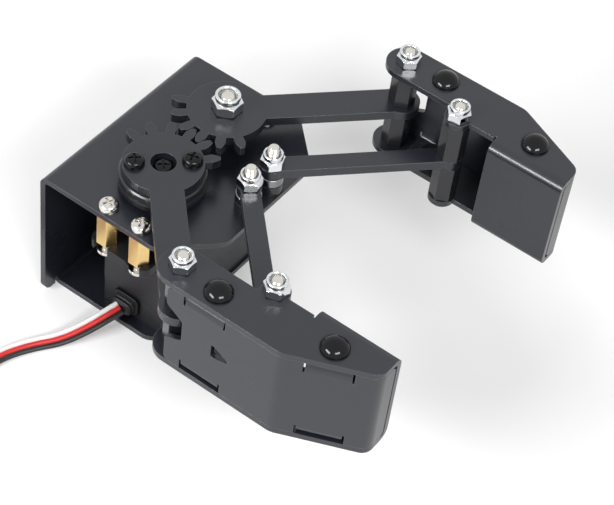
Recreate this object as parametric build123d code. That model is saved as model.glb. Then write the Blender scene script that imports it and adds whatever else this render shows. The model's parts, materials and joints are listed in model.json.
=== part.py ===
"""Two-finger parallel gripper: folded bracket, servo, meshed gear arms and four-bar fingers."""
import os
from math import acos, asin, atan2, cos, degrees, pi, radians, sin, tan

from build123d import *

# Lengths are in millimetres and angles in degrees. The origin is the centre of the wrist mount
# on the back of the bracket; +X points to the finger tips, +Y to the idle side, +Z up.

# folded sheet metal
sheet = 1.5
bend_inner = 1.0
bend_outer = bend_inner + sheet
relief_width = 0.5
relief_depth = 0.6

# bracket: a deck on top, a back wall and a foot folded from one strip
bracket_height = 42.0
deck_width = 59.0
deck_length = 47.5
deck_chamfer = 12.5
deck_corner = 6.0
side_corner = 1.0
foot_width = 50.0
foot_length = 34.5
foot_corner = 5.0
back_corner = 3.0
wrist_circle = 14.0
wrist_hole = 3.2
wrist_pilot = 6.0

# gear arms and links, seen from above
gear_x = 24.0
gear_module = 1.65
gear_teeth = 15
pressure_angle = 20.0
tooth_addendum = 1.55
tooth_backlash = 0.2
tooth_count = 6
drive_first_tooth = 48.0
hub_diameter = 20.0
arm_length = 44.4
arm_angle = 46.3
arm_width = 8.3
arm_eye = 9.6
arm_thickness = 2.5
crank_length = 21.5
crank_angle = 21.5
link_width = 4.8
link_eye = 6.0

# heights above the deck, and the play in the moving joints
arm_clearance = 5.5
collar_height = 3.0
axial_play = 0.05
running_play = 0.05
thread_play = 0.02
hole_play = 0.1

# fasteners
m3 = 3.0
m3_nut_flats = 5.5
m3_nut_height = 4.0
m3_head = 5.2
m3_head_height = 2.0
m4 = 4.0
m4_nut_flats = 7.0
m4_nut_height = 5.0
m4_head = 7.4
m4_head_height = 1.7
nut_hex_share = 0.62
nut_corner_share = 0.57
nut_chamfer_share = 0.04
nut_collar_share = 0.46
nut_round_share = 0.1
head_rim = 0.45
recess_width = 0.7
recess_length = 3.0
recess_depth = 0.9
link_screw_stand = 1.9
end_stand = 0.3

# pivots on the deck
idle_neck = 5.8
idle_shoulder = 10.0
collar_diameter = 6.6
collar_rounding = 0.3

# servo, standing on the foot of the bracket and hung from the deck by four standoffs
servo_length = 40.5
servo_width = 20.0
servo_height = 37.0
servo_edge = 1.2
servo_shaft_inset = 9.6
bottom_cover = 8.0
top_cover = 7.0
cover_inset = 0.15
cover_rim = 0.6
ear_span = 55.0
ear_width = 18.0
ear_thickness = 2.5
ear_corner = 2.5
ear_hole_inset = 2.75
ear_hole_gauge = 10.0
ear_slot = 4.4
rib_reach = 2.0
rib_width = 1.2
rib_root = 1.0
case_screw = 2.0
case_screw_head = 3.6
case_screw_head_height = 1.5
case_screw_sink = 2.0
case_screw_bite = 3.0
case_screw_inset = 3.2
standoff_flats = 5.0
standoff_length = 10.0
standoff_bite = 4.5
output_boss = 13.0
boss_play = 0.5
boss_stand = 0.4
spline_diameter = 5.9
spline_depth = 6.0
spline_engagement = 3.0
horn_diameter = 21.5
horn_clearance = 1.0
horn_groove = 0.4
horn_chamfer = 0.4
horn_hole_pitch = 14.0
horn_window = 6.4
horn_screw_bite = 3.5
centre_screw_bite = 4.0

# finger: a folded channel with a pad, closed on the outside by a riveted cover
spacer_flats = 5.9
spacer_length = 11.2
strip_width = 11.0
lobe_diameter = 6.8
lobe_fillet = 0.8
shoulder_lead = 31.1
tip_lead = 51.6
tip_width = 7.6
tip_corner = 3.2
shoulder_corner = 5.0
pad_inset = 11.2
pad_length = 20.7
cover_gap = 0.1
cover_end_gap = 0.45
cover_rear_lead = 0.5
cover_corner = 1.4
cover_end_chamfer = 1.6
tab_width = 10.5
tab_depth = 8.5
rear_tab_lead = 10.75
front_tab_lead = 11.0
rivet_inset = 4.8
rivet_dome = 6.8
rivet_dome_height = 2.5
rivet_rim = 0.5
rivet_shank = 3.2
rivet_tail = 5.0
rivet_tail_height = 1.0
notch_reach = 4.6
notch_below = 1.6
notch_fall = 2.0
notch_above = 2.3
notch_rise = 3.2
notch_corner = 1.2
notch_lip = 2.0
window_lead = 13.3
window_drop = 0.6
window_length = 5.7
window_height = 4.7
window_rise = 1.4
window_corner = 0.6

# servo lead: three wires side by side, 300 mm from the case to the plug
lead_width = 3.9
lead_exit_offset = -1.5
lead_exit_height = 4.5
lead_boss_width = 9.0
lead_boss_height = 9.5
lead_boss_depth = 3.0
lead_boss_lift = 1.25
lead_boss_corner = 1.0
lead_bend_share = 0.45
lead_route = [
    (22.5, -24.7, -15.0),
    (21.1, -29.2, -15.9),
    (18.8, -34.0, -17.6),
    (15.5, -39.6, -18.9),
    (11.1, -45.4, -19.05),
    (7.7, -52.2, -19.05),
    (6.4, -59.2, -19.05),
]
coil_centre = (-17.0, -70.5)
coil_radius = 21.5
coil_round_share = 0.3
plug_angle = 60.0
plug_lean = 35.0
plug_radius = 14.5
plug_length = 14.0
plug_width = 7.7
plug_height = 2.6
plug_rounding = 0.3
plug_pin = 0.7
plug_pin_pitch = 2.54
plug_pin_depth = 8.0

# levels
deck_top = bracket_height / 2
deck_under = deck_top - sheet
foot_top = -bracket_height / 2 + sheet
arm_bottom = deck_top + arm_clearance
arm_top = arm_bottom + arm_thickness
finger_top_under = arm_top + axial_play + spacer_length
finger_top = finger_top_under + sheet
finger_floor = arm_bottom - axial_play - spacer_length
finger_bottom = finger_floor - sheet
finger_middle = (finger_top + finger_bottom) / 2
ear_top = deck_under - standoff_length
ear_under = ear_top - ear_thickness
case_top = foot_top + servo_height
horn_under = deck_top + horn_clearance

# pivots of the idle side; the drive side is its mirror image
gear_radius = gear_module * gear_teeth / 2
pivot = Vector(gear_x, gear_radius)
arm_step = Vector(arm_length * cos(radians(arm_angle)), arm_length * sin(radians(arm_angle)))
crank_step = Vector(crank_length * cos(radians(crank_angle)), -crank_length * sin(radians(crank_angle)))
finger_rear = pivot + arm_step
link_root = pivot + crank_step
finger_front = finger_rear + crank_step

# servo places
drive_axis = Vector(gear_x, -gear_radius)
servo_end = drive_axis.Y - servo_shaft_inset
servo_middle = servo_end + servo_length / 2
ear_holes = [
    (gear_x + side * ear_hole_gauge / 2, servo_middle + end * (ear_span / 2 - ear_hole_inset))
    for end in (-1, 1)
    for side in (-1, 1)
]
case_screw_places = [
    (
        gear_x + side * (servo_width / 2 - case_screw_inset),
        servo_middle + end * (servo_length / 2 - case_screw_inset),
    )
    for end in (-1, 1)
    for side in (-1, 1)
]

# outline of the finger plates, idle side
outer_edge = finger_rear.Y + strip_width / 2
inner_edge = finger_rear.Y - strip_width / 2
pad_face = finger_rear.Y - pad_inset
shoulder = Vector(finger_rear.X + shoulder_lead, outer_edge)
tip = Vector(finger_rear.X + tip_lead, pad_face + tip_width)
pad_rear = tip.X - pad_length
slope = (tip - shoulder).normalized()


def outline(*corners):
    """Face inside a closed outline; a corner is (x, y) or (x, y, radius)."""
    points = [corner[:2] for corner in corners]
    radii = [corner[2] if len(corner) > 2 else 0 for corner in corners]
    return make_face(FilletPolyline(*points, radius=radii, close=True))


def slab(face, low, high):
    """Upright prism on a plan face between two heights."""
    return extrude(Pos(0, 0, low) * face, amount=high - low)


def rod(x, y, low, high, diameter):
    """Upright round bar."""
    return slab(Pos(x, y) * Circle(diameter / 2), low, high)


def hexagon(x, y, low, high, flats, turn=0):
    """Upright six-sided bar; unturned, it has a pair of flats facing the sides."""
    return slab(Pos(x, y) * Rot(0, 0, turn) * RegularPolygon(flats / 2, 6, major_radius=False), low, high)


def through_width(face, low, high):
    """Prism on a face drawn in X and Z, between two Y places."""
    return extrude(Plane.XZ.offset(-high) * face, amount=high - low)


def along_length(face, low, high):
    """Prism on a face drawn in Y and Z, between two X places."""
    return extrude(Plane.YZ.offset(low) * face, amount=high - low)


def bar(start, end, width, start_eye, end_eye):
    """Plan of a flat bar with a round eye about each end."""
    step = end - start
    middle = (start + end) / 2
    turn = degrees(atan2(step.Y, step.X))
    body = Pos(middle.X, middle.Y) * Rot(0, 0, turn) * Rectangle(step.length, width)
    eyes = Pos(start.X, start.Y) * Circle(start_eye / 2) + Pos(end.X, end.Y) * Circle(end_eye / 2)
    return body + eyes


def holes(places, diameter, low, high):
    """Round cutters at several places."""
    return [rod(x, y, low - 1, high + 1, diameter) for x, y in places]


def mirrored(part):
    """The same part on the drive side."""
    return mirror(part, about=Plane.XZ)


def flipped(part):
    """The same part at the other end of the finger's height."""
    return mirror(part, about=Plane.XY.offset(finger_middle))


def dome(diameter, height, rim):
    """Button standing on Z 0: a straight rim under a spherical cap."""
    half = diameter / 2
    rise = height - rim
    ball = (half**2 + rise**2) / (2 * rise)
    turn = asin(half / ball) / 2
    crown = ThreePointArc(
        (half, rim),
        (ball * sin(turn), height - ball * (1 - cos(turn))),
        (0, height),
    )
    sides = Polyline((0, height), (0, 0), (half, 0), (half, rim))
    return revolve(Plane.XZ * make_face(sides + crown), Axis.Z)


def write(name, *solids):
    """One STEP file for each named piece or group of like pieces."""
    pieces = [solid for part in solids for solid in part.solids()]
    export_step(Compound(children=pieces) if len(pieces) > 1 else pieces[0], f"parts/{name}.step")


# fasteners


def pan_screw(diameter, length, head, head_height):
    """Cross-recessed pan screw, its head standing on Z 0 and its shank below."""
    shape = dome(head, head_height, head_rim * head_height) + rod(0, 0, -length, 0, diameter)
    for turn in (0, 90):
        slot = Pos(0, 0, head_height) * Rot(0, 0, turn) * Box(recess_length, recess_width, 2 * recess_depth)
        shape -= slot
    return shape


def lock_nut(diameter, flats, height):
    """Hexagon nut with a round collar that holds the locking ring."""
    hex_height = height * nut_hex_share
    body = hexagon(0, 0, 0, hex_height, flats)
    corners = rod(0, 0, 0, hex_height, 2 * flats * nut_corner_share)
    body &= chamfer(corners.edges().filter_by(GeomType.CIRCLE), flats * nut_chamfer_share)
    collar = rod(0, 0, hex_height, height, 2 * flats * nut_collar_share)
    collar = fillet(
        collar.edges().filter_by(GeomType.CIRCLE).sort_by(Axis.Z)[-1], height * nut_round_share
    )
    return body + collar - rod(0, 0, -1, height + 1, diameter + 2 * thread_play)


# bracket


def bracket():
    """Deck, back wall and foot folded from one sheet."""
    half = bracket_height / 2
    strip = outline(
        (deck_length, half),
        (0, half, bend_outer),
        (0, -half, bend_outer),
        (foot_length, -half),
        (foot_length, foot_top),
        (sheet, foot_top, bend_inner),
        (sheet, deck_under, bend_inner),
        (deck_length, deck_under),
    )
    part = through_width(strip, -deck_width / 2, deck_width / 2)

    side = deck_width / 2
    deck_plan = outline(
        (0, -side),
        (deck_length - deck_chamfer, -side, side_corner),
        (deck_length, -side + deck_chamfer, deck_corner),
        (deck_length, side - deck_chamfer, deck_corner),
        (deck_length - deck_chamfer, side, side_corner),
        (0, side),
    )
    part &= slab(deck_plan, -half, half)

    # the foot is narrower than the back wall, with a relief at each end of its fold
    foot = foot_width / 2
    for sign in (-1, 1):
        strip_beside_foot = Pos(sheet, sign * foot, -half) * Box(
            deck_length, deck_width, 2 * bend_outer + sheet,
            align=(Align.MIN, Align.MIN if sign > 0 else Align.MAX, Align.CENTER),
        )
        part -= strip_beside_foot
        relief = Pos(0, sign * (foot + relief_width / 2), -half) * Box(
            2 * bend_outer, relief_width, 2 * bend_outer,
        )
        part -= relief
    wall_face = outline(
        (-side, -half, back_corner),
        (side, -half, back_corner),
        (side, half),
        (-side, half),
    )
    part &= along_length(wall_face, -1, deck_length + 1)
    foot_plan = outline(
        (-1, -foot),
        (foot_length, -foot, foot_corner),
        (foot_length, foot, foot_corner),
        (-1, foot),
    )
    lower = slab(Rectangle(4 * deck_length, 2 * deck_width), -half - 1, foot_top + bend_inner)
    ahead_of_wall = slab(
        Pos(sheet + 2 * deck_length, 0) * Rectangle(4 * deck_length, 2 * deck_width), -half - 1,
        foot_top + bend_inner,
    )
    part -= ahead_of_wall - slab(foot_plan, -half - 1, foot_top + bend_inner)

    # holes in the deck
    part -= holes(ear_holes, m3 + 2 * hole_play, deck_under, deck_top)
    part -= rod(drive_axis.X, drive_axis.Y, deck_under - 1, deck_top + 1, output_boss + 2 * boss_play)
    part -= rod(pivot.X, pivot.Y, deck_under - 1, deck_top + 1, m4 + 2 * hole_play)
    for sign in (-1, 1):
        part -= rod(link_root.X, sign * link_root.Y, deck_under - 1, deck_top + 1, m3 + 2 * hole_play)

    # wrist mount in the back wall
    part -= along_length(Circle(wrist_pilot / 2), -1, sheet + 1)
    for turn in range(45, 405, 90):
        place = Pos(wrist_circle / 2 * cos(radians(turn)), wrist_circle / 2 * sin(radians(turn)))
        part -= along_length(place * Circle(wrist_hole / 2), -1, sheet + 1)
    return part


# servo


def servo_plan(inset=0.0):
    """Rounded rectangle of the servo case."""
    return Pos(gear_x, servo_middle) * RectangleRounded(
        servo_width - 2 * inset, servo_length - 2 * inset, servo_edge - inset
    )


def servo_bottom_cover():
    part = slab(servo_plan(cover_inset), foot_top, foot_top + bottom_cover)
    part -= holes(case_screw_places, case_screw + 2 * hole_play, foot_top, foot_top + bottom_cover)
    for x, y in case_screw_places:
        part -= rod(x, y, foot_top - 1, foot_top + case_screw_sink, case_screw_head + 2 * hole_play)
    return part


def servo_middle_case():
    """Main case with an ear at each end, slotted for the standoff screws."""
    part = slab(servo_plan(), foot_top + bottom_cover, case_top - top_cover)
    ears = slab(
        Pos(gear_x, servo_middle) * RectangleRounded(ear_width, ear_span, ear_corner), ear_under, ear_top
    )
    for x, y in ear_holes:
        outward = 1 if y > servo_middle else -1
        slot_end = y + outward * ear_span / 2
        ears -= slab(Pos(x, (y + slot_end) / 2) * Rectangle(ear_slot, abs(slot_end - y)), ear_under, ear_top)
        ears -= rod(x, y, ear_under, ear_top, ear_slot)
    part += ears
    for end in (-1, 1):
        rib_foot = servo_middle + end * servo_length / 2
        rib = outline(
            (rib_foot - end * rib_root, ear_top - rib_root),
            (rib_foot + end * rib_reach, ear_top - rib_root),
            (rib_foot + end * rib_reach, ear_top),
            (rib_foot, case_top - top_cover),
            (rib_foot - end * rib_root, case_top - top_cover),
        )
        part += along_length(rib, gear_x - rib_width / 2, gear_x + rib_width / 2)
    return part - holes(case_screw_places, case_screw + 2 * hole_play, foot_top, case_top)


def servo_top_cover():
    """Gear housing with the output boss that reaches up through the deck."""
    part = slab(servo_plan(cover_inset), case_top - top_cover, case_top)
    part = fillet(part.edges().group_by(Axis.Z)[-1], cover_rim)
    part += rod(drive_axis.X, drive_axis.Y, case_top - 1, deck_top + boss_stand, output_boss)
    part -= rod(
        drive_axis.X, drive_axis.Y, case_top - spline_depth, deck_top + 1, spline_diameter + 2 * running_play
    )
    low = case_top - top_cover
    for x, y in case_screw_places:
        part -= rod(x, y, low - 1, low + case_screw_bite, case_screw + 2 * thread_play)
    return part


def servo_case_screws():
    length = servo_height - top_cover - case_screw_sink + case_screw_bite - 0.5
    screw = Rot(180, 0, 0) * pan_screw(case_screw, length, case_screw_head, case_screw_head_height)
    return [Pos(x, y, foot_top + case_screw_sink) * screw for x, y in case_screw_places]


def standoffs():
    """Brass hexagon standoffs between the ears and the deck."""
    bore = m3 + 2 * thread_play
    return [
        hexagon(x, y, ear_top, deck_under, standoff_flats) - rod(x, y, ear_top - 1, deck_top, bore)
        for x, y in ear_holes
    ]


def deck_screws():
    screw = pan_screw(m3, sheet + standoff_bite, m3_head, m3_head_height)
    return [Pos(x, y, deck_top) * screw for x, y in ear_holes]


def ear_screws():
    screw = pan_screw(m3, ear_thickness + standoff_bite, m3_head, m3_head_height)
    return [Pos(x, y, ear_under) * Rot(180, 0, 0) * screw for x, y in ear_holes]


def servo_spline():
    """Output shaft, from inside the gear housing into the horn."""
    top = horn_under + spline_engagement
    part = rod(drive_axis.X, drive_axis.Y, case_top - spline_depth + 0.5, top, spline_diameter)
    bore_end = top - centre_screw_bite - 1
    return part - rod(drive_axis.X, drive_axis.Y, bore_end, top + 1, m3 + 2 * thread_play)


def servo_horn():
    """Round horn on the output shaft, grooved round its rim, carrying the drive arm."""
    middle = (horn_under + arm_bottom) / 2
    part = rod(0, 0, horn_under, arm_bottom, horn_diameter)
    part = chamfer(part.edges().filter_by(GeomType.CIRCLE), horn_chamfer)
    ring = rod(0, 0, middle - horn_groove, middle + horn_groove, horn_diameter + 2)
    part -= ring - rod(0, 0, middle - 1, middle + 1, horn_diameter - 2 * horn_groove)
    socket_end = horn_under + spline_engagement + hole_play
    part -= rod(0, 0, horn_under - 1, socket_end, spline_diameter + 2 * thread_play)
    part -= rod(0, 0, horn_under, arm_bottom + 1, m3 + 2 * hole_play)
    for turn in (0, 90, 180, 270):
        x = horn_hole_pitch / 2 * cos(radians(turn))
        y = horn_hole_pitch / 2 * sin(radians(turn))
        part -= rod(x, y, horn_under - 1, arm_bottom + 1, m3 + 2 * thread_play)
    return Pos(drive_axis.X, drive_axis.Y) * Rot(0, 0, 90 - arm_angle) * part


def horn_screw_places():
    """Two places on a line across the drive arm, each half the hole pitch from the shaft."""
    turn = radians(90 - arm_angle)
    step = Vector(cos(turn), sin(turn)) * (horn_hole_pitch / 2)
    return [drive_axis + step, drive_axis - step]


def horn_screws():
    screw = pan_screw(m3, arm_thickness + horn_screw_bite, m3_head, m3_head_height)
    return [Pos(place.X, place.Y, arm_top) * screw for place in horn_screw_places()]


def horn_centre_screw():
    length = arm_bottom - horn_under - spline_engagement + centre_screw_bite
    return Pos(drive_axis.X, drive_axis.Y, arm_bottom) * pan_screw(m3, length, m3_head, m3_head_height)


# gear arms and links


def involute(radius, base):
    """Angle in degrees through which an involute has unrolled at a radius."""
    turn = acos(base / radius)
    return degrees(tan(turn) - turn)


def tooth(direction):
    """Involute tooth about the gear's centre, standing on the hub."""
    base = gear_radius * cos(radians(pressure_angle))
    tip_radius = gear_radius + tooth_addendum
    root = hub_diameter / 2 - 1
    half = 90 / gear_teeth - degrees(tooth_backlash / 2 / gear_radius) + involute(gear_radius, base)

    def flank(radius, side):
        turn = radians(direction + side * (half - involute(max(radius, base), base)))
        return (radius * cos(turn), radius * sin(turn))

    steps = [base + (tip_radius - base) * step / 4 for step in range(5)]
    left = [flank(radius, 1) for radius in steps]
    right = [flank(radius, -1) for radius in reversed(steps)]
    crest = (tip_radius * cos(radians(direction)), tip_radius * sin(radians(direction)))
    return make_face([
        Line(flank(root, 1), left[0]),
        Spline(left),
        ThreePointArc(left[-1], crest, right[0]),
        Spline(right),
        Line(right[-1], flank(root, -1)),
        Line(flank(root, -1), flank(root, 1)),
    ])


def gear_arm(first_tooth, bore):
    """Arm of the idle side: a part gear about its pivot and a bar to the rear of the finger."""
    plan = bar(pivot, finger_rear, arm_width, hub_diameter, arm_eye)
    pitch = 360 / gear_teeth
    for index in range(tooth_count):
        plan += Pos(pivot.X, pivot.Y) * tooth(first_tooth - index * pitch)
    part = slab(plan, arm_bottom, arm_top)
    part -= rod(pivot.X, pivot.Y, arm_bottom - 1, arm_top + 1, bore)
    return part - rod(finger_rear.X, finger_rear.Y, arm_bottom - 1, arm_top + 1, m3 + 2 * running_play)


def drive_gear_arm():
    part = mirrored(gear_arm(-drive_first_tooth, horn_window))
    for place in horn_screw_places():
        part -= rod(place.X, place.Y, arm_bottom - 1, arm_top + 1, m3 + 2 * hole_play)
    return part


def idle_gear_arm():
    half_pitch = 180 / gear_teeth
    return gear_arm(-drive_first_tooth + half_pitch, idle_neck + 2 * running_play)


def link():
    """Plain bar of the idle side, from the deck to the front of the finger."""
    part = slab(bar(link_root, finger_front, link_width, link_eye, link_eye), arm_bottom, arm_top)
    for place in (link_root, finger_front):
        part -= rod(place.X, place.Y, arm_bottom - 1, arm_top + 1, m3 + 2 * running_play)
    return part


# pivots on the deck


def idle_bush():
    """Shouldered bush that carries the idle arm clear of the deck."""
    part = rod(pivot.X, pivot.Y, deck_top, arm_bottom - axial_play, idle_shoulder)
    part += rod(pivot.X, pivot.Y, deck_top, arm_top + axial_play, idle_neck)
    return part - rod(pivot.X, pivot.Y, deck_top - 1, arm_top + 1, m4 + 2 * hole_play)


def idle_screw():
    length = sheet + arm_clearance + arm_thickness + axial_play + m4_nut_height + end_stand
    return Pos(pivot.X, pivot.Y, deck_under) * Rot(180, 0, 0) * pan_screw(m4, length, m4_head, m4_head_height)


def idle_nut():
    return Pos(pivot.X, pivot.Y, arm_top + axial_play) * lock_nut(m4, m4_nut_flats, m4_nut_height)


def link_screws():
    length = sheet + arm_clearance + arm_thickness + axial_play + m3_nut_height + link_screw_stand
    screw = Pos(link_root.X, link_root.Y, deck_under) * Rot(180, 0, 0) * pan_screw(
        m3, length, m3_head, m3_head_height
    )
    return [screw, mirrored(screw)]


def link_collars():
    """Dark lower collars under the links."""
    collar = rod(link_root.X, link_root.Y, deck_top, deck_top + collar_height, collar_diameter)
    collar -= rod(link_root.X, link_root.Y, deck_top - 1, arm_top, m3 + 2 * hole_play)
    return [collar, mirrored(collar)]


def link_spacers():
    """Bright upper spacers under the links."""
    low, high = deck_top + collar_height, arm_bottom - axial_play
    spacer = rod(link_root.X, link_root.Y, low, high, collar_diameter)
    spacer = fillet(spacer.edges().filter_by(GeomType.CIRCLE), collar_rounding)
    spacer -= rod(link_root.X, link_root.Y, low - 1, high + 1, m3 + 2 * hole_play)
    return [spacer, mirrored(spacer)]


def link_nuts():
    nut = Pos(link_root.X, link_root.Y, arm_top + axial_play) * lock_nut(m3, m3_nut_flats, m3_nut_height)
    return [nut, mirrored(nut)]


# fingers, idle side


def tab_places():
    """For the rear and the front tab: a point of the cover's outer line, and its direction."""
    rear = Vector(finger_rear.X + rear_tab_lead, outer_edge)
    front = shoulder + slope * front_tab_lead
    return [(rear, Vector(1, 0)), (front, slope)]


def inward(direction):
    """Unit vector from the cover's outer line towards the inside of the finger."""
    return Vector(direction.Y, -direction.X)


def rivet_places():
    return [(point + inward(direction) * rivet_inset) for point, direction in tab_places()]


def plate_plan():
    """Plan of the finger's upper and lower plates, without the pad fold."""
    fold = pad_face + bend_outer
    edge = finger_front.Y
    plan = outline(
        (finger_rear.X, inner_edge),
        (finger_front.X - lobe_diameter / 2, inner_edge, lobe_fillet),
        (finger_front.X - lobe_diameter / 2, edge),
        (pad_rear - relief_width, edge),
        (pad_rear - relief_width, edge + relief_depth),
        (pad_rear, edge + relief_depth),
        (pad_rear, fold),
        (tip.X, fold),
        (tip.X, tip.Y, tip_corner),
        (shoulder.X, outer_edge, shoulder_corner),
        (finger_rear.X, outer_edge),
    )
    plan += Pos(finger_rear.X, finger_rear.Y) * Circle(strip_width / 2)
    plan += Pos(finger_front.X, finger_front.Y) * Circle(lobe_diameter / 2)
    for place in (finger_rear, finger_front):
        plan -= Pos(place.X, place.Y) * Circle(m3 / 2 + hole_play)
    for place in rivet_places():
        plan -= Pos(place.X, place.Y) * Circle(rivet_shank / 2 + hole_play)
    return plan


def finger_channel():
    """Two plates joined by the gripping pad, folded from one sheet."""
    plan = plate_plan()
    part = slab(plan, finger_top_under, finger_top) + slab(plan, finger_bottom, finger_floor)
    flange = pad_face + bend_outer + sheet
    pad = outline(
        (flange, finger_bottom),
        (pad_face, finger_bottom, bend_outer),
        (pad_face, finger_top, bend_outer),
        (flange, finger_top),
        (flange, finger_top_under),
        (pad_face + sheet, finger_top_under, bend_inner),
        (pad_face + sheet, finger_floor, bend_inner),
        (flange, finger_floor),
    )
    return part + along_length(pad, pad_rear, tip.X)


def cover_tab(point, direction):
    """Tab folded in under the upper plate, and the cut that frees it from the cover."""
    frame = Plane(origin=(point.X, point.Y, 0), x_dir=inward(direction), z_dir=direction * -1)
    low = finger_top_under - bend_outer - relief_depth
    profile = outline(
        (0, low),
        (0, finger_top_under, bend_outer),
        (tab_depth, finger_top_under),
        (tab_depth, finger_top_under - sheet),
        (sheet, finger_top_under - sheet, bend_inner),
        (sheet, low),
    )
    cut = outline((-1, low), (sheet + 1, low), (sheet + 1, finger_top), (-1, finger_top))
    tab = extrude(frame * profile, amount=tab_width / 2, both=True)
    return tab, extrude(frame * cut, amount=tab_width / 2 + relief_width, both=True)


def finger_cover():
    """Outer wall bent round the finger, with four riveted tabs and a notch for the arm."""
    rear = finger_rear.X + cover_rear_lead
    end = pad_face + sheet + cover_end_gap
    path = FilletPolyline(
        (rear, outer_edge),
        (shoulder.X, outer_edge),
        (tip.X, tip.Y),
        (tip.X, end),
        radius=[shoulder_corner, tip_corner],
    )
    wall_plan = make_face(offset(path, amount=sheet, side=Side.RIGHT, closed=True).edges())
    low, high = finger_floor + cover_gap, finger_top_under - cover_gap
    part = slab(wall_plan, low, high)

    # the front end is chamfered to clear the bends of the pad
    for level in (low, high):
        corner = Pos(tip.X, end, level) * Rot(45, 0, 0) * Box(
            4 * sheet, cover_end_chamfer, cover_end_chamfer
        )
        part -= corner

    # notch for the rear of the arm
    notch_top = arm_top + notch_above
    notch_floor = arm_bottom - notch_below
    notch = outline(
        (rear - 1, notch_floor - notch_fall),
        (rear, notch_floor - notch_fall),
        (rear + notch_reach, notch_floor, notch_corner),
        (rear + notch_reach, notch_top, notch_corner),
        (rear, notch_top + notch_rise, notch_lip),
        (rear, notch_top + 2 * notch_rise),
        (rear - 1, notch_top + 2 * notch_rise),
    )
    part -= through_width(notch, outer_edge - 2 * sheet, outer_edge + 1)
    rounded_rear = outline(
        (rear, low, cover_corner),
        (2 * tip.X, low),
        (2 * tip.X, high),
        (rear, high, cover_corner),
    )
    part &= through_width(rounded_rear, 0, 2 * outer_edge)

    # three-cornered window
    window = outline(
        (0, 0, window_corner),
        (window_length, window_rise, window_corner),
        (0, window_height, window_corner),
    )
    window = Pos(finger_rear.X + window_lead, arm_bottom - window_drop) * window
    part -= through_width(window, outer_edge - 2 * sheet, outer_edge + 1)

    for point, direction in tab_places():
        tab, cut = cover_tab(point, direction)
        for rivet in rivet_places():
            tab -= rod(rivet.X, rivet.Y, arm_top, finger_top, rivet_shank + 2 * hole_play)
        part = part - cut - flipped(cut) + tab + flipped(tab)
    return part


def rivet():
    """Domed rivet standing on Z 0, its tail closed under a plate and a tab."""
    depth = 2 * sheet
    shape = dome(rivet_dome, rivet_dome_height, rivet_rim)
    shape += rod(0, 0, -depth, 0, rivet_shank)
    return shape + rod(0, 0, -depth - rivet_tail_height, -depth, rivet_tail)


def finger_rivets():
    upper = [Pos(place.X, place.Y, finger_top) * rivet() for place in rivet_places()]
    return upper + [flipped(part) for part in upper]


def finger_spacers(low, high):
    """Hexagon spacers at the rear and the front pivot, between an arm or link and a plate."""
    bore = m3 + 2 * hole_play
    spacers = []
    for place in (finger_rear, finger_front):
        spacer = hexagon(place.X, place.Y, low, high, spacer_flats, 30)
        spacers.append(spacer - rod(place.X, place.Y, low - 1, high + 1, bore))
    return spacers


def finger_screws():
    length = finger_top - finger_bottom + m3_nut_height + end_stand
    screw = Rot(180, 0, 0) * pan_screw(m3, length, m3_head, m3_head_height)
    return [Pos(place.X, place.Y, finger_bottom) * screw for place in (finger_rear, finger_front)]


def finger_nuts():
    nut = lock_nut(m3, m3_nut_flats, m3_nut_height)
    return [Pos(place.X, place.Y, finger_top) * nut for place in (finger_rear, finger_front)]


# servo lead


def lead_boss():
    """Grommet on the end of the servo case that the lead leaves through."""
    middle = foot_top + lead_exit_height + lead_boss_lift
    part = Pos(gear_x + lead_exit_offset, servo_end - lead_boss_depth / 2, middle) * Box(
        lead_boss_width, lead_boss_depth, lead_boss_height
    )
    return fillet(part.edges().filter_by(Axis.Y), lead_boss_corner)


def lead_tube():
    """Uncoiled stretch of the lead: straight runs joined by arcs as large as the runs allow."""
    points = [Vector(*point) for point in lead_route]
    radii = []
    for before, corner, after in zip(points, points[1:], points[2:]):
        half_turn = radians((corner - before).get_angle(after - corner)) / 2
        shorter = min((corner - before).length, (after - corner).length)
        radii.append(lead_bend_share * shorter / tan(half_turn))
    print("lead radii", [round(radius, 1) for radius in radii])
    path = FilletPolyline(*points, radius=radii)
    section = Plane(origin=path @ 0, z_dir=path % 0) * Circle(lead_width / 2)
    part = sweep(section, path=path)
    print("lead length", round(path.length, 1), "volume share",
          round(part.volume / (path.length * pi * lead_width**2 / 4), 4))
    return part


def lead_coil():
    """Outer shape of the coiled stretch, lying on the level of the foot's underside."""
    inner = coil_radius - lead_width
    outer = coil_radius + lead_width
    ring = Circle(outer) - Circle(inner)
    part = slab(ring, -bracket_height / 2, -bracket_height / 2 + lead_width)
    part = fillet(part.edges().filter_by(GeomType.CIRCLE), lead_width * coil_round_share)
    return Pos(*coil_centre) * part


def lead_plug():
    """Three-way socket on the end of the lead, lying inside the coil."""
    part = Pos(plug_length / 2, 0, plug_height / 2) * Box(plug_length, plug_width, plug_height)
    part = fillet(part.edges().filter_by(Axis.X), plug_rounding)
    for row in (-1, 0, 1):
        place = Pos(plug_length, row * plug_pin_pitch, plug_height / 2)
        part -= place * Box(2 * plug_pin_depth, plug_pin, plug_pin)
    turn = radians(plug_angle)
    x = coil_centre[0] + plug_radius * cos(turn)
    y = coil_centre[1] + plug_radius * sin(turn)
    return Pos(x, y, -bracket_height / 2) * Rot(0, 0, plug_angle - 90 - plug_lean) * part


os.makedirs("parts", exist_ok=True)

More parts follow.
